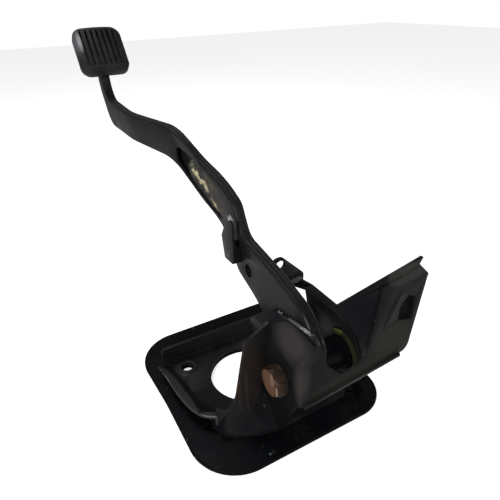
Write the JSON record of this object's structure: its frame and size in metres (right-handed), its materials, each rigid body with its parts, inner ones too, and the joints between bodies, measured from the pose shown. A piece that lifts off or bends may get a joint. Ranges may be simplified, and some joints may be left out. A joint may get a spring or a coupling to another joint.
{
  "type": "brake pedal with bulkhead bracket",
  "caption": "Hanging foot brake pedal: a hollow pressed arm with a ribbed rubber pad swings on a bolt between the cheeks of a pressed bracket on a flat base plate.",
  "frame": {"origin": "middle of the round servo opening, on the underside of the base plate", "axes": "+X along the pivot bolt from head to nut, +Y from the bracket towards the pad, +Z away from the bulkhead"},
  "size_m": [0.1522, 0.3454, 0.2336],
  "materials": {
    "black_paint": "dipped black paint, satin, worn at edges",
    "rusted_steel": "rust-brown steel with bright flats",
    "plated_steel": "dull plated steel",
    "bush_plastic": "yellow-green nylon",
    "black_rubber": "worn ribbed rubber"
  },
  "bodies": {
    "bracket": {"base_plate": "black_paint", "mounting_bracket": "black_paint", "side_panel": "black_paint", "cheek_doubler": "black_paint", "far_cheek": "black_paint", "pivot_bolt": "rusted_steel", "bolt_washer": "rusted_steel", "nut_washer": "plated_steel", "pivot_nut": "plated_steel", "spacer_sleeve": "plated_steel"},
    "pedal": {"hub_tube": "black_paint", "near_bush": "bush_plastic", "far_bush": "bush_plastic", "arm_near_shell": "black_paint", "arm_far_shell": "black_paint", "clevis_sleeve": "plated_steel", "side_hook": "black_paint", "foot_plate": "black_paint", "rubber_pad": "black_rubber"}
  },
  "joints": [
    {"name": "pedal_swing", "type": "hinge", "parent": "bracket", "child": "pedal", "pos_m": [0, -0.057, 0.052], "axis": [-1, 0, 0], "range_deg": [0, 20]}
  ]
}
